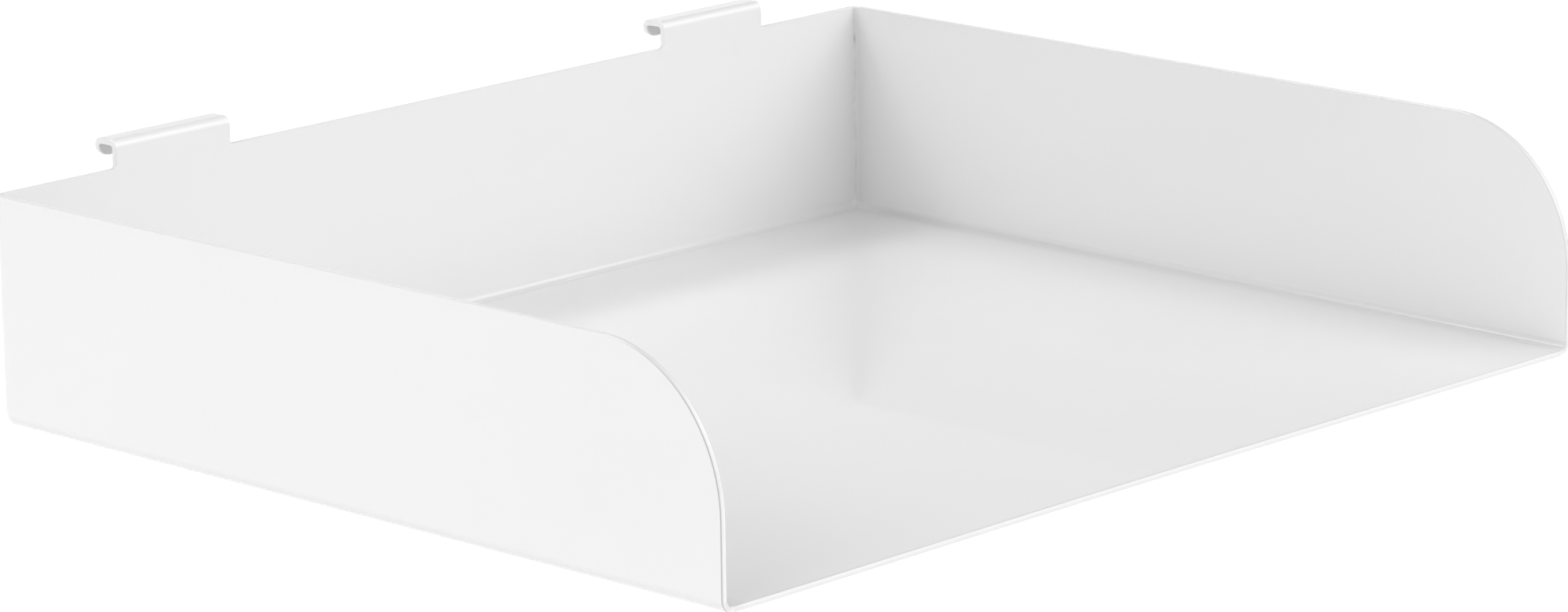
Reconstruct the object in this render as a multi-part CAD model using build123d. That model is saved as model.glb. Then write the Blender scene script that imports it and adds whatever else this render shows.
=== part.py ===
from build123d import *
import os

# Hook-on tray, folded from one blank of sheet steel and closed with a weld in each rear corner.
# The blank is divided at its fold lines, so every flat, fold, hook and weld is a solid of its own.
#
# Frame: +Z up, -Y towards the open front, +Y towards the rail that the hooks hang on.
# The origin is on the underside, midway across the tray and midway between the front edge
# and the rearmost face of the hooks. All sizes are in millimetres.

# Tray
WIDTH = 310.0  # outside, along X
DEPTH = 248.0  # from the front edge to the rear face of the back panel
WALL_HEIGHT = 58.5  # from the underside of the floor to the top of the walls
SHEET = 1.6  # steel sheet with its powder coat
FOLD_INNER = 2.0  # inside radius of the floor folds and of the rear corners
FRONT_CORNER = 37.0  # radius of each side panel's upper front corner

# Hooks
HOOK_WIDTH = 38.0  # along X
HOOK_SPACING = 194.0  # centre to centre
HOOK_RISE = 7.1  # from the top of the walls to the top of a hook
HOOK_GAP = 5.0  # throat between the back panel's rear face and the lip
HOOK_FOLD_INNER = 0.8  # inside radius of a hook's two folds
LIP_HEIGHT = 5.1  # from the top of a hook to the free end of its lip
LIP_CORNER = 3.4  # radius of the lip's two free corners
ROOT_FILLET = 0.8  # where a hook's sides run into the top edge of the back panel

# Planes and lines worked out from the sizes above
FOLD_OUTER = FOLD_INNER + SHEET
HOOK_FOLD_OUTER = HOOK_FOLD_INNER + SHEET
SIDE_X = WIDTH / 2  # outer face of a side panel
FRONT_Y = -(DEPTH + HOOK_GAP + SHEET) / 2  # front edge
REAR_Y = FRONT_Y + DEPTH  # rear face of the back panel
FLAT_X = SIDE_X - FOLD_OUTER  # where the side folds begin
FLAT_Y = REAR_Y - FOLD_OUTER  # where the rear fold begins
HOOK_TOP = WALL_HEIGHT + HOOK_RISE
HOOK_X = HOOK_SPACING / 2


def box_between(low, high):
    """Box given by its lowest and highest corners."""
    size = [b - a for a, b in zip(low, high)]
    return Pos(*low) * Box(*size, align=(Align.MIN, Align.MIN, Align.MIN))


def quarter_fold(origin, x_dir, z_dir, length):
    """Fold of the sheet through 90 degrees: a quarter of a tube about origin, along z_dir."""
    quadrant = Pos(-FOLD_OUTER / 2, -FOLD_OUTER / 2) * Rectangle(FOLD_OUTER, FOLD_OUTER)
    section = (Circle(FOLD_OUTER) - Circle(FOLD_INNER)) & quadrant
    place = Plane(origin=origin, x_dir=x_dir, z_dir=z_dir)
    return place * extrude(section, length)


def floor_panel():
    return box_between((-FLAT_X, FRONT_Y, 0), (FLAT_X, FLAT_Y, SHEET))


def left_floor_fold():
    return quarter_fold((-FLAT_X, FLAT_Y, FOLD_OUTER), (1, 0, 0), (0, -1, 0), FLAT_Y - FRONT_Y)


def rear_floor_fold():
    return quarter_fold((FLAT_X, FLAT_Y, FOLD_OUTER), (0, -1, 0), (-1, 0, 0), 2 * FLAT_X)


def left_side_panel():
    """Flat side wall, square at the rear and rounded at its upper front corner."""
    panel = box_between((-SIDE_X, FRONT_Y, FOLD_OUTER), (-SIDE_X + SHEET, FLAT_Y, WALL_HEIGHT))
    upper_front = panel.edges().filter_by(Axis.X).group_by(Axis.Z)[-1].sort_by(Axis.Y)[0]
    return fillet(upper_front, FRONT_CORNER)


def back_panel():
    return box_between((-FLAT_X, REAR_Y - SHEET, FOLD_OUTER), (FLAT_X, REAR_Y, WALL_HEIGHT))


def left_corner_weld():
    """Weld that closes the upright rear corner, dressed round, with its rounded foot."""
    upright = quarter_fold(
        (-FLAT_X, FLAT_Y, WALL_HEIGHT), (1, 0, 0), (0, 0, -1), WALL_HEIGHT - FOLD_OUTER
    )
    ball = Sphere(FOLD_OUTER) - Sphere(FOLD_INNER)
    octant = box_between((-FOLD_OUTER, 0, -FOLD_OUTER), (0, FOLD_OUTER, 0))
    foot = Pos(-FLAT_X, FLAT_Y, FOLD_OUTER) * (ball & octant)
    return upright + foot


def hook_section():
    """Side view of a hook: up from the back panel, rearwards over the rail and down to a lip."""
    tab_front = REAR_Y - SHEET
    lip_front = REAR_Y + HOOK_GAP
    lip_rear = lip_front + SHEET
    underside = HOOK_TOP - SHEET
    free_end = HOOK_TOP - LIP_HEIGHT
    outline = Polyline(
        (tab_front, WALL_HEIGHT),
        (tab_front, HOOK_TOP),
        (lip_rear, HOOK_TOP),
        (lip_rear, free_end),
        (lip_front, free_end),
        (lip_front, underside),
        (REAR_Y, underside),
        (REAR_Y, WALL_HEIGHT),
        close=True,
    )
    section = make_face(outline)
    section = fillet(section.vertices().group_by(Axis.Y)[-2], HOOK_FOLD_INNER)
    return fillet(section.vertices().group_by(Axis.Y)[-1], HOOK_FOLD_OUTER)


def root_fillet(side):
    """Fillet between one upright side of a hook, at side = -1 or 1, and the wall's top edge."""
    square = Pos(side * ROOT_FILLET / 2, ROOT_FILLET / 2) * Rectangle(ROOT_FILLET, ROOT_FILLET)
    web = square - Pos(side * ROOT_FILLET, ROOT_FILLET) * Circle(ROOT_FILLET)
    place = Plane(
        origin=(side * HOOK_WIDTH / 2, REAR_Y, WALL_HEIGHT), x_dir=(1, 0, 0), z_dir=(0, -1, 0)
    )
    return place * extrude(web, SHEET)


def hook():
    """One hook, centred on X = 0, with the free corners of its lip rounded."""
    across = Plane(origin=(-HOOK_WIDTH / 2, 0, 0), x_dir=(0, 1, 0), z_dir=(1, 0, 0))
    body = across * extrude(hook_section(), HOOK_WIDTH)
    square_lip = box_between(
        (-HOOK_WIDTH / 2, REAR_Y + HOOK_GAP / 2, HOOK_TOP - LIP_HEIGHT),
        (HOOK_WIDTH / 2, REAR_Y + HOOK_GAP + SHEET, HOOK_TOP),
    )
    lower_corners = square_lip.edges().filter_by(Axis.Y).group_by(Axis.Z)[0]
    round_lip = fillet(lower_corners, LIP_CORNER)
    return body - (square_lip - round_lip) + root_fillet(-1) + root_fillet(1)


def right_hand(part):
    """The mirror image of a left-hand part."""
    return mirror(part, about=Plane.YZ)


nodes = {
    "floor_panel": floor_panel(),
    "left_floor_fold": left_floor_fold(),
    "right_floor_fold": right_hand(left_floor_fold()),
    "rear_floor_fold": rear_floor_fold(),
    "left_side_panel": left_side_panel(),
    "right_side_panel": right_hand(left_side_panel()),
    "back_panel": back_panel(),
    "left_hook": Pos(-HOOK_X, 0, 0) * hook(),
    "right_hook": Pos(HOOK_X, 0, 0) * hook(),
    "rear_left_corner_weld": left_corner_weld(),
    "rear_right_corner_weld": right_hand(left_corner_weld()),
}

os.makedirs("parts", exist_ok=True)
for name, part in nodes.items():
    export_step(part, f"parts/{name}.step")
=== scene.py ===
import math

import bpy
import numpy as np
from mathutils import Matrix, Vector


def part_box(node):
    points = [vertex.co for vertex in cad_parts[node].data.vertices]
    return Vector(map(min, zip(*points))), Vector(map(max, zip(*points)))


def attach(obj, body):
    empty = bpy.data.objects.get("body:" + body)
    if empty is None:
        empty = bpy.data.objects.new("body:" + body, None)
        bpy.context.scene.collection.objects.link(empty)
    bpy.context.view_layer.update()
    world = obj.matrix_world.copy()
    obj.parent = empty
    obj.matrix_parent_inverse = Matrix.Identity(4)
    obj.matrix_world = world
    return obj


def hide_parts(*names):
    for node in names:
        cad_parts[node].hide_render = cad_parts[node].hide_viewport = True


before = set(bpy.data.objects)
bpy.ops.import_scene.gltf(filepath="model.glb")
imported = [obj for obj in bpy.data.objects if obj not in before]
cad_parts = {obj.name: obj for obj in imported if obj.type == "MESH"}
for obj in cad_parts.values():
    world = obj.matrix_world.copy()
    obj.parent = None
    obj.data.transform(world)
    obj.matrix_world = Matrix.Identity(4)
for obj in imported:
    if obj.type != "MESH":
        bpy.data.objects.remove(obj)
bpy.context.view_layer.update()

# The tray is one sheet of steel, folded, with a weld in each rear corner. Each piece below is a plate:
# flat cells of the unfolded sheet, which are given its thickness and its rounded free edges and are
# then folded. s and t run along the sheet and w is the height above its middle, towards the inside.

MM = 0.001
SAME_WITHIN = 1e-7  # places nearer than this are the same

# Sizes read from the CAD
floor_low, floor_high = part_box("floor_panel")
side_low, side_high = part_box("left_side_panel")
_, back_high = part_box("back_panel")
hook_low, hook_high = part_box("left_hook")
SHEET = floor_high.z - floor_low.z
FLAT_X = floor_high.x  # where the side folds begin
FLAT_Y = floor_high.y  # where the rear fold begins
FRONT_Y = floor_low.y
REAR_Y = back_high.y
SIDE_X = -side_low.x
FOLD_TOP = side_low.z  # where the floor folds end
WALL_TOP = side_high.z
HOOK_TOP = hook_high.z
HOOK_REAR = hook_high.y
HOOK_X = -(hook_low.x + hook_high.x) / 2

# Details of the sheet
HALF = SHEET / 2
FOLD_MID = FOLD_TOP - HALF  # radius of the middle of the sheet in a floor fold
EDGE_ROUND = 0.35 * MM  # rounding of the free edges
FRONT_CORNER = 37 * MM
ROOT_FILLET = 0.8 * MM
HOOK_BEND_MID = 1.6 * MM  # radius of the middle of the sheet in a hook's two bends
LIP_HEIGHT = 5.1 * MM
LIP_CORNER = 3.4 * MM
ROOT_HALF_WIDTH = (hook_high.x - hook_low.x) / 2
HOOK_HALF_WIDTH = ROOT_HALF_WIDTH - ROOT_FILLET

# Small departures from flat of a folded sheet
FLOOR_BOW = 0.45 * MM  # the front edge of the floor is bowed up in the middle
SHEET_WAVE = 0.03 * MM
FLOOR_WAVES = (1.5, 1.2)  # turns of the wave along s and t
SIDE_WAVES = (1.3, 0.5)
BACK_WAVES = (1.5, 0.5)
WAVE_START = (0.6, -0.4)  # radians along s and t

# How thin the coat is and how much shade is painted on it: 0 is full coat without shade and 1 the thinnest
# and darkest, and more than 1 counts as 1
SIDE_FOLD_SHADE = 0.38  # painted shade inside the side folds
FOLD_FOOT = 0.45  # share of it where a side fold meets the floor
FOLD_MIDDLE = 0.8  # share of it halfway up, over and above what is left of the foot's
FOLD_FADE = 12 * MM  # length of its fade to nothing at the rear end
FOLD_OUTSIDE_GREY = 0.15  # greyer round the outsides of the side folds
REAR_FOLD_SHADE = 0.1  # painted shade inside the rear fold
WELD_SHADE = 0.15  # painted shade inside the welds
SEAM_THIN = 0.5  # in the middle of an open seam
TOP_EDGE_THIN_AND_SHADE = 0.25  # thin coat and painted shade on the inner rounding of an upper edge
FRONT_EDGE_THIN_AND_SHADE = 0.3  # thin coat and painted shade on the inner rounding of an edge that faces forward
OUTER_EDGE_THIN_AND_SHADE = 1.2  # thin coat and painted shade on the outer rounding of an edge that faces forward
FORWARD_GAIN = 1.4  # how soon that is in full on an edge that turns to face forward
END_FACE_SHADE = 0.2  # painted shade on the outer side of an end face
FLOOR_EDGE_THIN_AND_SHADE = 2 * FRONT_EDGE_THIN_AND_SHADE  # thin coat and painted shade on the upper rounding of the floor's front edge
FLOOR_END_SHADE = 1.5 * END_FACE_SHADE  # painted shade on the lower side of the floor's end face
DRAW_BACK_AND_SHADE = 1.5  # gives the drawn-back coat and its painted shade a peak of about 0.87

# Mesh density
EDGE_STEPS = 4
FOLD_STEPS = 10
CORNER_STEPS = 24
CORNER_RINGS = 8
LENGTH_ROWS = 36  # from the front corners to the rear fold
WALL_ROWS = 4  # below the front corners
OUTER_COLUMNS = 7  # between a hook and the side
HOOK_COLUMNS = 8
MIDDLE_COLUMNS = 30  # between the hooks


# ---------------------------------------------------------------- cells


def spaced(start, end, count):
    """count + 1 evenly spaced numbers from start to end."""
    return [start + (end - start) * i / count for i in range(count + 1)]


def joined(*runs):
    """Runs of numbers, each starting with the last one's end, as one list."""
    return list(runs[0]) + [value for run in runs[1:] for value in run[1:]]


def cells_of(rows):
    """The cells between rows of points, each with its corners in order."""
    cells = []
    for low, high in zip(rows, rows[1:]):
        for j in range(len(low) - 1):
            cells.append((low[j], low[j + 1], high[j + 1], high[j]))
    return cells


def grid(s_values, t_values):
    return cells_of([[(s, t) for s in s_values] for t in t_values])


def same(a, b):
    return abs(a - b) < SAME_WITHIN


# The front corner's centre, and the grid lines that the pieces share
CORNER_Y = FRONT_Y + FRONT_CORNER
CORNER_Z = WALL_TOP - FRONT_CORNER
RADII = spaced(0, FRONT_CORNER - EDGE_ROUND, CORNER_RINGS)
Y_LINES = joined([CORNER_Y - r for r in reversed(RADII)], spaced(CORNER_Y, FLAT_Y, LENGTH_ROWS))
Z_LINES = joined(spaced(FOLD_TOP, CORNER_Z, WALL_ROWS), [CORNER_Z + r for r in RADII])
X_LINES = joined(
    spaced(-FLAT_X, -HOOK_X - ROOT_HALF_WIDTH, OUTER_COLUMNS),
    spaced(-HOOK_X - ROOT_HALF_WIDTH, -HOOK_X + ROOT_HALF_WIDTH, HOOK_COLUMNS),
    spaced(-HOOK_X + ROOT_HALF_WIDTH, HOOK_X - ROOT_HALF_WIDTH, MIDDLE_COLUMNS),
    spaced(HOOK_X - ROOT_HALF_WIDTH, HOOK_X + ROOT_HALF_WIDTH, HOOK_COLUMNS),
    spaced(HOOK_X + ROOT_HALF_WIDTH, FLAT_X, OUTER_COLUMNS),
)
FOLD_LINES = spaced(0, FOLD_MID * math.pi / 2, FOLD_STEPS)
FOLD_LENGTH = FOLD_LINES[-1]


# ---------------------------------------------------------------- plates

KEYS_PER_METRE = 1e8  # places are rounded to this, and vertices with equal ones are one vertex
SMALL_STEP = 1e-7  # for the sheet's directions, which are found from differences
POLE_NUDGE = 1e-5  # up from the foot of a weld, where a row of cells shrinks to a point
NO_LENGTH = 1e-12


class Plate:
    """A closed mesh of a thick, folded sheet, made from its flat cells.

    fold(s, t, w) is where a point of the sheet goes. out(s, t) is the direction out of the sheet, in its
    own plane, at a border point of a free edge, and None where the border is cut against another piece.
    The last argument is a function of (s, t, w, turn) that gives how thin the coat is there and how much
    shade is painted on it. turn grows from 0 on a face to 1 at the middle of a free edge.
    """

    def __init__(self, cells, out, fold, thinness_and_shade=lambda s, t, w, turn: 0.0):
        self.out = out
        self.fold = fold
        self.thinness_and_shade = thinness_and_shade
        self.places = []
        self.normals = []
        self.thin_coat_and_painted_shade = []
        self.faces = []
        self.cut_faces = set()
        self.index = {}
        for cell in cells:
            self.add_face([self.flat_vertex(p, HALF) for p in cell])
            self.add_face([self.flat_vertex(p, -HALF) for p in reversed(cell)])
        self.close_border(cells)

    def directions(self, s, t, w):
        """Unit vectors along s, along t and off the surface."""
        step = SMALL_STEP
        across = self.fold(s, t + step, w) - self.fold(s, t - step, w)
        for nudge in (0.0, POLE_NUDGE):
            along = self.fold(s + step, t + nudge, w) - self.fold(s - step, t + nudge, w)
            if np.linalg.norm(along) > NO_LENGTH:
                break
        along = along / np.linalg.norm(along)
        across = across / np.linalg.norm(across)
        off = np.cross(along, across)
        return along, across, off / np.linalg.norm(off)

    def vertex(self, s, t, w, lean, turn=0.0):
        """The vertex at (s, t, w). lean is its normal in the sheet's own directions."""
        place = self.fold(s, t, w)
        key = tuple(int(c) for c in np.round(place * KEYS_PER_METRE))
        if key not in self.index:
            normal = sum(share * axis for share, axis in zip(lean, self.directions(s, t, w)))
            self.index[key] = len(self.places)
            self.places.append(place)
            self.normals.append(normal / np.linalg.norm(normal))
            self.thin_coat_and_painted_shade.append(self.thinness_and_shade(s, t, w, turn))
        return self.index[key]

    def flat_vertex(self, point, w):
        return self.vertex(*point, w, (0, 0, math.copysign(1, w)))

    def add_face(self, corners, is_cut=False):
        """Adds a face, unless it has shrunk to a line."""
        kept = [c for i, c in enumerate(corners) if c != corners[i - 1]]
        if len(set(kept)) > 2:
            if is_cut:
                self.cut_faces.add(len(self.faces))
            self.faces.append(kept)

    def section(self, point):
        """Vertices down through the sheet at a border point, round both roundings of a free edge."""
        out = self.out(*point)
        if out is None:
            return [self.flat_vertex(point, HALF), self.flat_vertex(point, -HALF)]
        upper, lower = [], []
        for k in range(EDGE_STEPS + 1):
            turn = k / EDGE_STEPS
            reach, rise = math.sin(math.pi / 2 * turn), math.cos(math.pi / 2 * turn)
            s, t = (p + EDGE_ROUND * reach * o for p, o in zip(point, out))
            w = HALF - EDGE_ROUND * (1 - rise)
            upper.append(self.vertex(s, t, w, (out[0] * reach, out[1] * reach, rise), turn))
            lower.append(self.vertex(s, t, -w, (out[0] * reach, out[1] * reach, -rise), turn))
        return upper + lower[::-1]

    def close_border(self, cells):
        """Rounds the free edges and closes the cut ones."""
        sides = {}
        for cell in cells:
            for a, b in zip(cell, cell[1:] + cell[:1]):
                ends = self.flat_vertex(a, HALF), self.flat_vertex(b, HALF)
                sides[ends] = (a, b)
        border = []
        for ends, (a, b) in sides.items():
            if ends[::-1] not in sides and ends[0] != ends[1]:
                border.append((*ends, a, b))
        free_after = {}
        free_before = {}
        for start, end, a, b in border:
            free = self.out(*a) is not None and self.out(*b) is not None
            free_after[start] = free_before[end] = free
            first, second = self.section(a), self.section(b)
            if free:
                for k in range(len(first) - 1):
                    self.add_face([first[k], first[k + 1], second[k + 1], second[k]])
            else:
                self.add_face([first[0], first[-1], second[-1], second[0]], is_cut=True)
        for start, _, a, _ in border:
            if free_before[start] != free_after[start]:
                ring = self.section(a)
                self.add_face(ring[::-1] if free_after[start] else ring, is_cut=True)

    def mirrored(self):
        """The plate on the other side of the plane X = 0."""
        flip = np.array([-1.0, 1.0, 1.0])
        self.places = [place * flip for place in self.places]
        self.normals = [normal * flip for normal in self.normals]
        self.faces = [face[::-1] for face in self.faces]
        return self

    def build(self, node, material):
        """Makes the Blender object that stands for one CAD node."""
        mesh = bpy.data.meshes.new(node)
        mesh.from_pydata([tuple(place) for place in self.places], [], self.faces)
        mesh.polygons.foreach_set("use_smooth", [True] * len(mesh.polygons))
        # Per vertex: how thin the coat is, and painted shade in folds, welds and along edges
        thinness_and_shade = mesh.attributes.new("thin_coat_and_painted_shade", "FLOAT", "POINT")
        thinness_and_shade.data.foreach_set("value", self.thin_coat_and_painted_shade)
        corner_normals = []
        for polygon in mesh.polygons:
            is_cut = polygon.index in self.cut_faces
            for v in polygon.vertices:
                corner_normals.append(tuple(polygon.normal if is_cut else self.normals[v]))
        mesh.normals_split_custom_set(corner_normals)
        mesh.materials.append(material)
        piece = bpy.data.objects.new(node + "_coated", mesh)
        bpy.context.scene.collection.objects.link(piece)
        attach(piece, "root")
        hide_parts(node)
        return piece


# ---------------------------------------------------------------- flat panels


def wave(u, v, turns_u, turns_v):
    """A gentle unevenness, from 0 to SHEET_WAVE, that fades out towards the ends of u and v (0 to 1)."""
    fade = (math.sin(math.pi * u) * math.sin(math.pi * v)) ** 2
    start_u, start_v = WAVE_START
    sine = math.sin(2 * math.pi * turns_u * u + start_u)
    cosine = math.cos(2 * math.pi * turns_v * v + start_v)
    return SHEET_WAVE * fade * (1 + sine * cosine) / 2


def share(value, start, end):
    """How far a value is from start to end, kept within 0 and 1."""
    return min(1.0, max(0.0, (value - start) / (end - start)))


def drawn_back_and_shade(turn):
    """How much thinner the coat gets round an edge, with painted shade along it, most of it near the face.
    """
    return DRAW_BACK_AND_SHADE * (1 - turn) * math.sin(math.pi * turn)


def edge_thin_coat_and_shade(forward, w, turn):
    """The thin coat and painted shade round a wall's free edge, with painted shade on the outer side of
    its end face. forward is 0 where it faces up and 1 where it faces -Y.
    """
    if w > 0:
        return TOP_EDGE_THIN_AND_SHADE * math.sin(math.pi * turn) + FRONT_EDGE_THIN_AND_SHADE * forward * drawn_back_and_shade(turn)
    full = OUTER_EDGE_THIN_AND_SHADE * drawn_back_and_shade(turn) + END_FACE_SHADE * turn
    return min(1.0, FORWARD_GAIN * forward) * full


def floor_fold(s, t, w):
    """The floor lies flat, with its front edge bowed up a little."""
    u, v = share(s, -FLAT_X, FLAT_X), share(t, FRONT_Y, FLAT_Y)
    bow = FLOOR_BOW * math.sin(math.pi * u) ** 2 * (1 - v) ** 3
    return np.array([s, t, HALF + w + bow + wave(u, v, *FLOOR_WAVES)])


def floor_out(s, t):
    return (0, -1) if same(t, FRONT_Y + EDGE_ROUND) else None


def before_corner(y):
    """1 along a side fold, fading to 0 at its rear end."""
    return share(y, FLAT_Y, FLAT_Y - FOLD_FADE)


def floor_shade_and_thin_coat(s, t, w, turn):
    """The painted shade of a side fold reaches a little way onto the floor. The floor's front edge has a
    thin coat with painted shade, and painted shade on the lower side of its end face.
    """
    if w < 0:
        # Painted shade on the lower side of the floor's end face
        return FLOOR_END_SHADE * turn
    # Painted shade of the side fold's crease, carried onto the floor
    fold = FOLD_FOOT * SIDE_FOLD_SHADE * before_corner(t) if same(abs(s), FLAT_X) else 0.0
    return fold + FLOOR_EDGE_THIN_AND_SHADE * drawn_back_and_shade(turn)


def floor_panel():
    return Plate(grid(X_LINES, Y_LINES), floor_out, floor_fold, floor_shade_and_thin_coat)


def side_fold(s, t, w):
    u, v = share(s, FRONT_Y, FLAT_Y), share(t, FOLD_TOP, WALL_TOP)
    return np.array([-SIDE_X + HALF + w + wave(u, v, *SIDE_WAVES), s, t])


def side_out(s, t):
    if s < CORNER_Y and t > CORNER_Z:
        reach = math.hypot(s - CORNER_Y, t - CORNER_Z)
        return (s - CORNER_Y) / reach, (t - CORNER_Z) / reach
    if same(s, FRONT_Y + EDGE_ROUND):
        return -1, 0
    return (0, 1) if same(t, WALL_TOP - EDGE_ROUND) else None


def side_thin_coat_and_shade(s, t, w, turn):
    across, up = max(0.0, CORNER_Y - s), max(0.0, t - CORNER_Z)
    forward = across / math.hypot(across, up) if turn > 0 else 0.0
    return edge_thin_coat_and_shade(forward, w, turn)


def left_side_panel():
    """Straight cells below and behind the rounded corner, and a fan of cells inside it."""
    below = [z for z in Z_LINES if z < CORNER_Z + EDGE_ROUND]
    behind = [y for y in Y_LINES if y > CORNER_Y - EDGE_ROUND]
    before = [y for y in Y_LINES if y < CORNER_Y + EDGE_ROUND]
    above = [z for z in Z_LINES if z > CORNER_Z - EDGE_ROUND]
    rays = []
    for angle in spaced(0, math.pi / 2, CORNER_STEPS):
        rays.append([(CORNER_Y - r * math.cos(angle), CORNER_Z + r * math.sin(angle)) for r in RADII])
    fan = [cell[::-1] for cell in cells_of(rays)]
    cells = grid(before, below) + grid(behind, below) + grid(behind, above) + fan
    return Plate(cells, side_out, side_fold, side_thin_coat_and_shade)


def back_fold(s, t, w):
    u, v = share(s, -FLAT_X, FLAT_X), share(t, FOLD_TOP, WALL_TOP)
    return np.array([s, REAR_Y - HALF - w - wave(u, v, *BACK_WAVES), t])


def back_out(s, t):
    in_root = abs(abs(s) - HOOK_X) < ROOT_HALF_WIDTH - EDGE_ROUND
    return (0, 1) if same(t, WALL_TOP - EDGE_ROUND) and not in_root else None


def back_thin_coat_and_shade(s, t, w, turn):
    return edge_thin_coat_and_shade(0.0, w, turn)


def back_panel():
    return Plate(grid(X_LINES, Z_LINES), back_out, back_fold, back_thin_coat_and_shade)


# ---------------------------------------------------------------- folds


def turned(t):
    """Sine and cosine of the turn at arc length t of a floor fold."""
    angle = t / FOLD_MID
    return math.sin(angle), math.cos(angle)


def left_floor_fold_place(s, t, w):
    """t runs from the floor up to the side panel."""
    sine, cosine = turned(t)
    radius = FOLD_MID - w
    return np.array([-FLAT_X - radius * sine, s, FOLD_TOP - radius * cosine])


def side_fold_shade(s, t, w, turn):
    """Painted shade inside a fold and a lighter grey outside it; the coat draws back from its front edge,
    with painted shade there too.
    """
    height = t / FOLD_LENGTH
    inside = FOLD_FOOT * (1 - height) + FOLD_MIDDLE * math.sin(math.pi * height)
    front = height * edge_thin_coat_and_shade(1.0, w, turn)
    if w > 0:
        # Painted shade in the crease of the fold
        return SIDE_FOLD_SHADE * before_corner(s) * inside + front
    return FOLD_OUTSIDE_GREY * math.sin(math.pi * height) + front


def side_fold_out(s, t):
    return (-1, 0) if same(s, FRONT_Y + EDGE_ROUND) else None


def left_floor_fold():
    return Plate(grid(Y_LINES, FOLD_LINES), side_fold_out, left_floor_fold_place, side_fold_shade)


def rear_floor_fold_place(s, t, w):
    """t runs from the floor up to the back panel."""
    sine, cosine = turned(t)
    radius = FOLD_MID - w
    return np.array([s, FLAT_Y + radius * sine, FOLD_TOP - radius * cosine])


def rear_fold_shade(s, t, w, turn):
    # Painted shade in the crease of the rear fold
    return REAR_FOLD_SHADE * math.sin(math.pi * t / FOLD_LENGTH) if w > 0 else 0.0


def no_free_edge(s, t):
    return None


def rear_floor_fold():
    return Plate(grid(X_LINES, FOLD_LINES), no_free_edge, rear_floor_fold_place, rear_fold_shade)


# ---------------------------------------------------------------- corner welds

WELD_ROWS = 110
SEAM_COLUMNS = 24
BESIDE_SEAM_COLUMNS = 10

# The bead, which has a fine ripple of uneven length
BEAD_HOLLOW = 0.15 * MM  # how much sharper than the floor folds the inside of the corner is
BEAD_FADE = 2 * MM  # how far above the foot the relief is in full
BEAD_RIPPLE = 0.03 * MM
RIPPLE_LENGTH = 0.5 * MM  # for one radian of the ripple
RIPPLE_DRIFT = 2.0  # radians by which it runs ahead and behind
RIPPLE_DRIFT_LENGTH = 3 * MM  # for one radian of that

# The seam in the bead. Heights and their widths are shares of the upright, from 0 at the foot to 1
SEAM_AT = 0.57 * FOLD_LENGTH  # from the side panel, towards the back panel
SEAM_REACH = 1.0 * MM  # the seam lies within this distance of SEAM_AT
SEAM_WIDTH = 0.35 * MM
SEAM_DEPTH = 0.15 * MM
SEAM_WANDER = 0.12 * MM
SEAM_WANDER_LENGTH = 4 * MM  # for one radian of the wander
SEAM_FADE = 3 * MM  # how far above the foot the seam is in full
SEAM_OPEN = 0.8
SEAM_EVEN = 0.45
SEAM_UNEVEN = ((0.15, 41, 0), (0.1, 97, 1))  # size, radians over the height, radians at the foot
SEAM_FILLED = ((0.9, 0.49, 0.035), (0.7, 0.775, 0.03))  # how far filled, height, width
PINHOLE_OPEN = 0.9
PINHOLE_HEIGHT = 0.834
PINHOLE_WIDTH = 0.022


def bump_at(value, middle, width):
    """1 at middle, falling smoothly to 0 within about two widths."""
    return math.exp(-(((value - middle) / width) ** 2))


def seam_opening(t):
    """How open the seam is at height t, from 0 to about 1, with two filled stretches and a pinhole."""
    height = share(t, FOLD_TOP, WALL_TOP)
    uneven = SEAM_EVEN
    for size, turns, start in SEAM_UNEVEN:
        uneven += size * math.sin(turns * height + start)
    unfilled = 1.0
    for size, middle, width in SEAM_FILLED:
        unfilled -= size * bump_at(height, middle, width)
    pinhole = PINHOLE_OPEN * bump_at(height, PINHOLE_HEIGHT, PINHOLE_WIDTH)
    foot = share(t, FOLD_TOP, FOLD_TOP + SEAM_FADE)
    return foot * (SEAM_OPEN * uneven * max(0.0, unfilled) + pinhole)


def in_seam(s, t):
    """1 in the middle of the seam, which wanders a little, falling to 0 beside it."""
    return bump_at(s, SEAM_AT + SEAM_WANDER * math.sin(t / SEAM_WANDER_LENGTH), SEAM_WIDTH)


def weld_relief(s, t):
    """Height of the inner face of the weld above a true quarter tube."""
    middle = math.sin(math.pi * s / FOLD_LENGTH) ** 2
    fade = middle * share(t, FOLD_TOP - FOLD_LENGTH, FOLD_TOP + BEAD_FADE)
    ripple = math.sin(t / RIPPLE_LENGTH + RIPPLE_DRIFT * math.sin(t / RIPPLE_DRIFT_LENGTH))
    return fade * (BEAD_RIPPLE * ripple - BEAD_HOLLOW - SEAM_DEPTH * seam_opening(t) * in_seam(s, t))


def weld_shade_and_thin_seam(s, t, w, turn):
    """Painted shade across the inside of the weld. The coat is thin in the seam and hardly reaches into
    the pinhole.
    """
    if w < 0:
        return 0.0
    # Painted shade in the rear corner
    inside = WELD_SHADE * math.sin(math.pi * s / FOLD_LENGTH)
    return inside + SEAM_THIN * seam_opening(t) * in_seam(s, t)


def left_weld_place(s, t, w):
    """An upright quarter tube, and below FOLD_TOP an eighth of a sphere. s runs from side to back."""
    sine, cosine = turned(s)
    relief = weld_relief(s, t) if w > 0 else 0.0
    radius = FOLD_MID - w - relief * w / HALF
    dip = max(0.0, FOLD_TOP - t) / FOLD_MID
    level = radius * math.cos(dip)
    height = max(t, FOLD_TOP) - radius * math.sin(dip)
    return np.array([-FLAT_X - level * cosine, FLAT_Y + level * sine, height])


def weld_out(s, t):
    return (0, 1) if same(t, WALL_TOP - EDGE_ROUND) else None


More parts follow.
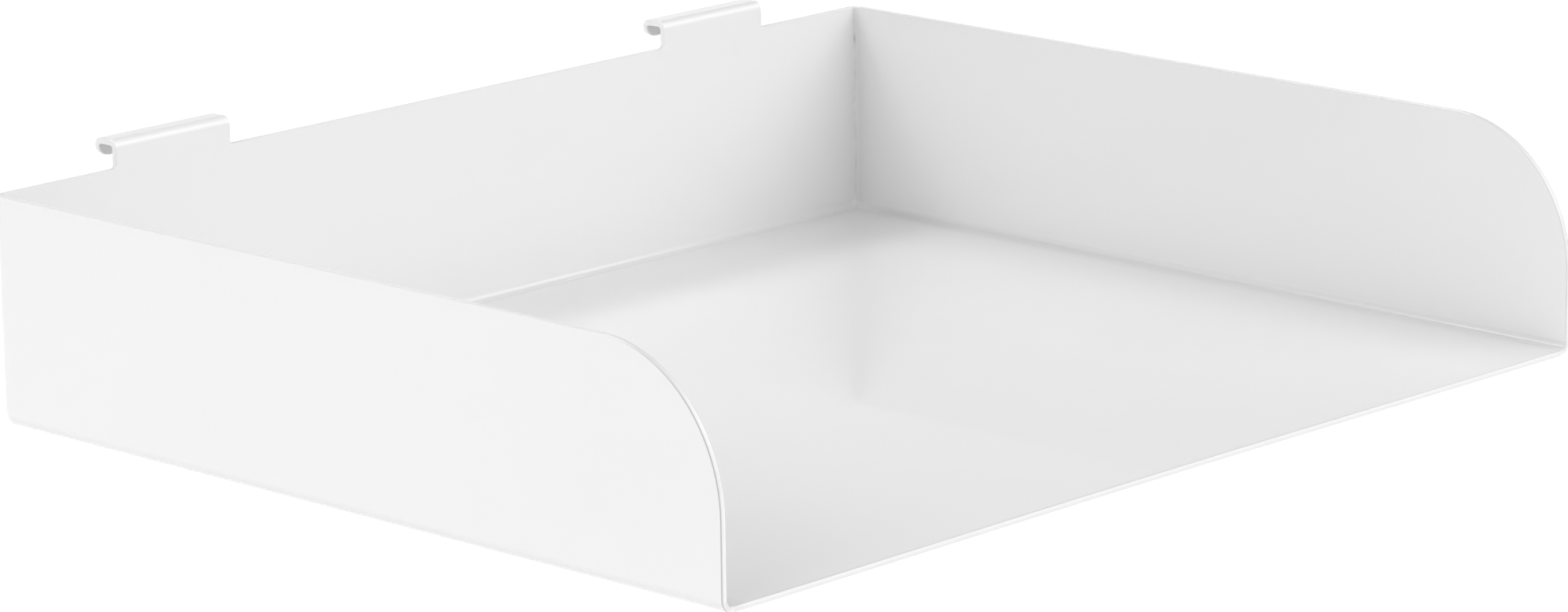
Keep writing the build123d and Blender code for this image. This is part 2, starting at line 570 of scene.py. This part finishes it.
def left_corner_weld():
    s_lines = joined(
        spaced(0, SEAM_AT - SEAM_REACH, BESIDE_SEAM_COLUMNS),
        spaced(SEAM_AT - SEAM_REACH, SEAM_AT + SEAM_REACH, SEAM_COLUMNS),
        spaced(SEAM_AT + SEAM_REACH, FOLD_LENGTH, BESIDE_SEAM_COLUMNS),
    )
    foot = spaced(FOLD_TOP - FOLD_LENGTH, FOLD_TOP, FOLD_STEPS)
    upright = spaced(FOLD_TOP, WALL_TOP - EDGE_ROUND, WELD_ROWS)
    return Plate(grid(s_lines, joined(foot, upright)), weld_out, left_weld_place, weld_shade_and_thin_seam)


# ---------------------------------------------------------------- hooks

HOOK_BEND_OUTER = HOOK_BEND_MID + HALF
BEND_LENGTH = HOOK_BEND_MID * math.pi / 2
BEND_Z = HOOK_TOP - HOOK_BEND_OUTER  # where a hook's first bend begins
TAB_BEND_Y = REAR_Y - SHEET + HOOK_BEND_OUTER  # centres of the two bends
LIP_BEND_Y = HOOK_REAR - HOOK_BEND_OUTER
TOP_START = BEND_Z + BEND_LENGTH
TOP_END = TOP_START + LIP_BEND_Y - TAB_BEND_Y
LIP_START = TOP_END + BEND_LENGTH
LIP_END = LIP_START + LIP_HEIGHT - HOOK_BEND_OUTER
ROOT_T = WALL_TOP + ROOT_FILLET
LIP_CORNER_T = LIP_END - LIP_CORNER

ROOT_STEPS = 6
TAB_ROWS = 3
BEND_ROWS = 8
TOP_ROWS = 3
LIP_ROWS = 6  # the second bend and the lip down to its corners
LIP_CORNER_STEPS = 12


def hook_place(s, t, w):
    """t runs up the tab, over the top and down the lip."""
    if t < BEND_Z:
        return np.array([s, REAR_Y - HALF - w, t])
    if t < TOP_START:
        angle = (t - BEND_Z) / HOOK_BEND_MID
        radius = HOOK_BEND_MID + w
        return np.array([s, TAB_BEND_Y - radius * math.cos(angle), BEND_Z + radius * math.sin(angle)])
    if t < TOP_END:
        return np.array([s, TAB_BEND_Y + t - TOP_START, HOOK_TOP - HALF + w])
    if t < LIP_START:
        angle = (t - TOP_END) / HOOK_BEND_MID
        radius = HOOK_BEND_MID + w
        return np.array([s, LIP_BEND_Y + radius * math.sin(angle), BEND_Z + radius * math.cos(angle)])
    return np.array([s, HOOK_REAR - HALF + w, BEND_Z - t + LIP_START])


def hook_out(s, t):
    side = math.copysign(1, s)
    root_s = side * ROOT_HALF_WIDTH
    root_reach = math.hypot(s - root_s, t - ROOT_T)
    if t < ROOT_T and same(root_reach, ROOT_FILLET + EDGE_ROUND):
        return (root_s - s) / root_reach, (ROOT_T - t) / root_reach
    lip_s = side * (HOOK_HALF_WIDTH - LIP_CORNER)
    if t > LIP_CORNER_T and abs(s) >= abs(lip_s) - SAME_WITHIN:
        reach = math.hypot(s - lip_s, t - LIP_CORNER_T)
        return (s - lip_s) / reach, (t - LIP_CORNER_T) / reach
    if same(abs(s), HOOK_HALF_WIDTH - EDGE_ROUND):
        return side, 0
    return (0, 1) if same(t, LIP_END - EDGE_ROUND) else None


def hook_edge():
    """Half widths and heights of the rows of cells, from the root to the end of the lip."""
    edge = []
    for angle in spaced(0, math.pi / 2, ROOT_STEPS):
        reach = ROOT_FILLET + EDGE_ROUND
        edge.append((ROOT_HALF_WIDTH - reach * math.sin(angle), ROOT_T - reach * math.cos(angle)))
    straight = joined(
        spaced(ROOT_T, BEND_Z, TAB_ROWS),
        spaced(BEND_Z, TOP_START, BEND_ROWS),
        spaced(TOP_START, TOP_END, TOP_ROWS),
        spaced(TOP_END, LIP_CORNER_T, LIP_ROWS),
    )
    edge += [(HOOK_HALF_WIDTH - EDGE_ROUND, t) for t in straight[1:]]
    for angle in spaced(0, math.pi / 2, LIP_CORNER_STEPS)[1:]:
        reach = LIP_CORNER - EDGE_ROUND
        half_width = HOOK_HALF_WIDTH - LIP_CORNER + reach * math.cos(angle)
        edge.append((half_width, LIP_CORNER_T + reach * math.sin(angle)))
    return edge


def hook(middle_x):
    """One hook, whose tab continues the back panel."""
    rows = [[(s, t) for s in spaced(-half, half, HOOK_COLUMNS)] for half, t in hook_edge()]
    shift = np.array([middle_x, 0.0, 0.0])
    return Plate(cells_of(rows), hook_out, lambda s, t, w: hook_place(s, t, w) + shift)


# ---------------------------------------------------------------- material

# Noise scales are in cells for each metre
COAT_TINTS = ((0.77, 0.77, 0.77, 1), (0.79, 0.79, 0.79, 1))
COAT_TINT_SCALE = 18.0
THIN_COAT_AND_SHADE_COLOUR = (0.40, 0.40, 0.405, 1)  # where the coat is thin, and the grey of painted shade
BASE_ROUGHNESS = (0.36, 0.44)
ROUGHNESS_SCALE = 60.0
SPECULAR_LEVEL = 0.25
CLEAR_IOR = 1.5
CLEAR_ROUGHNESS = 0.015
PEEL_SCALE = 350.0
PEEL_HEIGHT = 0.0025 * MM
SWELL_SCALE = 70.0
SWELL_HEIGHT = 0.006 * MM
GROUND_TINTS = ((0.86, 0.86, 0.86, 1), (0.88, 0.88, 0.88, 1))
GROUND_TINT_SCALE = 3.0
GROUND_ROUGHNESS = 0.9
GROUND_GLOW = 0.25
WHITE = (1, 1, 1, 1)


def link(tree, source, target):
    tree.links.new(source, target)


def add_node(tree, kind, **inputs):
    """A shader node with some of its inputs set."""
    node = tree.nodes.new(kind)
    for name, value in inputs.items():
        node.inputs[name.replace("_", " ")].default_value = value
    return node


def spread(tree, value, low, high):
    """Maps a value from 0 to 1 onto low to high."""
    node = add_node(tree, "ShaderNodeMapRange", To_Min=low, To_Max=high)
    link(tree, value, node.inputs["Value"])
    return node.outputs["Result"]


def noise(tree, coordinates, scale, detail=2.0):
    node = add_node(tree, "ShaderNodeTexNoise", Scale=scale, Detail=detail)
    link(tree, coordinates, node.inputs["Vector"])
    return node.outputs["Fac"]


def mixed(tree, factor, first, second):
    """A mix of two colours. The first may be a socket."""
    node = tree.nodes.new("ShaderNodeMix")
    node.data_type = "RGBA"
    link(tree, factor, node.inputs["Factor"])
    if isinstance(first, tuple):
        node.inputs["A"].default_value = first
    else:
        link(tree, first, node.inputs["A"])
    node.inputs["B"].default_value = second
    return node.outputs["Result"]


def white_powder_coat():
    """Glossy white powder coat: orange peel at two scales, faint clouds of tone, grey where it is thin and
    grey painted shade in folds, welds and along edges.
    """
    material = bpy.data.materials.new("powder_coat_finish")
    material.use_nodes = True
    tree = material.node_tree
    shader = tree.nodes["Principled BSDF"]
    place = tree.nodes.new("ShaderNodeTexCoord").outputs["Object"]
    thinness_and_shade = tree.nodes.new("ShaderNodeAttribute")
    thinness_and_shade.attribute_name = "thin_coat_and_painted_shade"

    full = mixed(tree, noise(tree, place, COAT_TINT_SCALE), *COAT_TINTS)
    # Painted shade: the colour goes to grey in folds, welds and along round edges, as well as where the
    # coat is thin
    colour = mixed(tree, thinness_and_shade.outputs["Fac"], full, THIN_COAT_AND_SHADE_COLOUR)
    link(tree, colour, shader.inputs["Base Color"])

    patches = noise(tree, place, ROUGHNESS_SCALE)
    link(tree, spread(tree, patches, *BASE_ROUGHNESS), shader.inputs["Roughness"])
    shader.inputs["Specular IOR Level"].default_value = SPECULAR_LEVEL
    shader.inputs["Coat Weight"].default_value = 1.0
    shader.inputs["Coat IOR"].default_value = CLEAR_IOR
    shader.inputs["Coat Roughness"].default_value = CLEAR_ROUGHNESS

    peel = add_node(tree, "ShaderNodeBump", Strength=1.0, Distance=PEEL_HEIGHT)
    link(tree, noise(tree, place, PEEL_SCALE, detail=0.0), peel.inputs["Height"])
    swell = add_node(tree, "ShaderNodeBump", Strength=1.0, Distance=SWELL_HEIGHT)
    link(tree, noise(tree, place, SWELL_SCALE, detail=1.0), swell.inputs["Height"])
    link(tree, peel.outputs["Normal"], swell.inputs["Normal"])
    link(tree, swell.outputs["Normal"], shader.inputs["Normal"])
    link(tree, swell.outputs["Normal"], shader.inputs["Coat Normal"])
    return material


# ---------------------------------------------------------------- studio

GROUND_Z = -0.30
GROUND_SIZE = 40.0
GROUND_STEPS = 4

# Soft glows of the studio: azimuth, elevation, sharpness and strength of each
GLOWS = {
    "front, low": (0, 8, 20, 3),
    "left, low": (270, 8, 20, 1),
    "rear right, low": (135, 8, 20, 1),
    "left": (270, 35, 14, 3),
    "front right": (45, 35, 14, 3),
    "front": (0, 35, 14, 2),
    "rear left": (225, 35, 14, 1.5),
}

# Strip lights behind the tray. Their height and elevation give the shadow's two edges
STRIP_WATTS = {150: 20, 210: 10}  # by azimuth
STRIP_WIDTH = 1.2
STRIP_HEIGHT = 0.6
STRIP_DISTANCE = 3.0
STRIP_ELEVATION = 54.5


def plane_mesh(name, corners, steps):
    """A flat grid between four corners, in order."""
    a, b, c, d = (Vector(corner) for corner in corners)
    points = []
    for i in range(steps + 1):
        left, right = a.lerp(d, i / steps), b.lerp(c, i / steps)
        points += [left.lerp(right, j / steps) for j in range(steps + 1)]
    faces = []
    for i in range(steps):
        for j in range(steps):
            k = i * (steps + 1) + j
            faces.append((k, k + 1, k + steps + 2, k + steps + 1))
    mesh = bpy.data.meshes.new(name)
    mesh.from_pydata(points, [], faces)
    plane = bpy.data.objects.new(name, mesh)
    bpy.context.scene.collection.objects.link(plane)
    return plane


def ground_material():
    """Pale matt floor that glows softly, as a lit photo table does. It is clear when seen from below."""
    material = bpy.data.materials.new("pale_ground")
    material.use_nodes = True
    tree = material.node_tree
    shader = tree.nodes["Principled BSDF"]
    place = tree.nodes.new("ShaderNodeTexCoord").outputs["Object"]
    colour = mixed(tree, noise(tree, place, GROUND_TINT_SCALE), *GROUND_TINTS)
    link(tree, colour, shader.inputs["Base Color"])
    shader.inputs["Roughness"].default_value = GROUND_ROUGHNESS
    shader.inputs["Emission Color"].default_value = WHITE
    shader.inputs["Emission Strength"].default_value = GROUND_GLOW
    see_through = tree.nodes.new("ShaderNodeBsdfTransparent")
    sides = tree.nodes.new("ShaderNodeMixShader")
    link(tree, tree.nodes.new("ShaderNodeNewGeometry").outputs["Backfacing"], sides.inputs["Fac"])
    link(tree, shader.outputs["BSDF"], sides.inputs[1])
    link(tree, see_through.outputs["BSDF"], sides.inputs[2])
    link(tree, sides.outputs["Shader"], tree.nodes["Material Output"].inputs["Surface"])
    return material


def add_ground():
    half = GROUND_SIZE / 2
    signs = ((-1, -1), (1, -1), (1, 1), (-1, 1))
    corners = [(half * x, half * y, GROUND_Z) for x, y in signs]
    ground = plane_mesh("ground", corners, GROUND_STEPS)
    ground.data.materials.append(ground_material())


def toward(azimuth, elevation):
    """Unit vector from the tray. Azimuth 0 is in front of it and 90 on its right."""
    a, e = math.radians(azimuth), math.radians(elevation)
    return Vector((math.sin(a) * math.cos(e), -math.cos(a) * math.cos(e), math.sin(e)))


def maths(tree, operation, first, second=None):
    """A maths node on sockets or numbers."""
    node = tree.nodes.new("ShaderNodeMath")
    node.operation = operation
    for socket, value in zip(node.inputs, (first, second)):
        if isinstance(value, (int, float)):
            socket.default_value = value
        elif value is not None:
            link(tree, value, socket)
    return node.outputs["Value"]


def glow(tree, direction, azimuth, elevation, sharpness, strength):
    """Brightness of a soft round glow in the world, seen in a direction."""
    dot = tree.nodes.new("ShaderNodeVectorMath")
    dot.operation = "DOT_PRODUCT"
    link(tree, direction, dot.inputs[0])
    dot.inputs[1].default_value = toward(azimuth, elevation)
    away = maths(tree, "SUBTRACT", dot.outputs["Value"], 1)
    fall = maths(tree, "EXPONENT", maths(tree, "MULTIPLY", away, sharpness))
    return maths(tree, "MULTIPLY", fall, strength)


def add_world():
    """A world that is dark but for the glows."""
    world = bpy.data.worlds.new("studio")
    bpy.context.scene.world = world
    world.use_nodes = True
    tree = world.node_tree
    direction = tree.nodes.new("ShaderNodeTexCoord").outputs["Generated"]
    total = 0.0
    for values in GLOWS.values():
        total = maths(tree, "ADD", total, glow(tree, direction, *values))
    background = tree.nodes["Background"]
    background.inputs["Color"].default_value = WHITE
    link(tree, total, background.inputs["Strength"])


def add_strip_light(azimuth, watts):
    """A soft strip behind the tray, which lays the shadow of the back panel on the floor."""
    light = bpy.data.lights.new("strip", "AREA")
    light.shape = "RECTANGLE"
    light.size = STRIP_WIDTH
    light.size_y = STRIP_HEIGHT
    light.energy = watts
    strip = bpy.data.objects.new("strip", light)
    bpy.context.scene.collection.objects.link(strip)
    away = toward(azimuth, STRIP_ELEVATION)
    strip.location = STRIP_DISTANCE * away
    strip.rotation_euler = (-away).to_track_quat("-Z", "Y").to_euler()
    strip.visible_camera = False


# ---------------------------------------------------------------- camera

# The photograph's viewpoint, from a fit of the tray's straight edges, rounded
CAMERA_PLACE = (-1.13657, -1.08623, 0.41070)
CAMERA_AZIMUTH = -46.271
CAMERA_ELEVATION = 13.924
CAMERA_ROLL = -0.690
CAMERA_LENS = 148.593
SENSOR_WIDTH = 36
VIEW_DISTANCE = 100


def add_camera():
    data = bpy.data.cameras.new("camera")
    data.sensor_fit = "HORIZONTAL"
    data.sensor_width = SENSOR_WIDTH
    data.lens = CAMERA_LENS
    data.clip_end = VIEW_DISTANCE
    camera = bpy.data.objects.new("camera", data)
    bpy.context.scene.collection.objects.link(camera)
    back = toward(CAMERA_AZIMUTH, CAMERA_ELEVATION)
    level = (-back).to_track_quat("-Z", "Y").to_matrix()
    roll = Matrix.Rotation(math.radians(CAMERA_ROLL), 3, "Z")
    camera.matrix_world = Matrix.Translation(CAMERA_PLACE) @ (level @ roll).to_4x4()
    bpy.context.scene.camera = camera


# ---------------------------------------------------------------- the scene

coat = white_powder_coat()
floor_panel().build("floor_panel", coat)
left_floor_fold().build("left_floor_fold", coat)
left_floor_fold().mirrored().build("right_floor_fold", coat)
rear_floor_fold().build("rear_floor_fold", coat)
left_side_panel().build("left_side_panel", coat)
left_side_panel().mirrored().build("right_side_panel", coat)
back_panel().build("back_panel", coat)
left_hook = hook(-HOOK_X).build("left_hook", coat)
right_hook = hook(HOOK_X).build("right_hook", coat)
left_corner_weld().build("rear_left_corner_weld", coat)
left_corner_weld().mirrored().build("rear_right_corner_weld", coat)

# The mirror image in the floor shows the top of the back panel as one clean line, without the hooks
left_hook.visible_glossy = False
right_hook.visible_glossy = False

add_ground()
add_world()
for azimuth, watts in STRIP_WATTS.items():
    add_strip_light(azimuth, watts)
add_camera()
bpy.context.scene.view_settings.view_transform = "Standard"
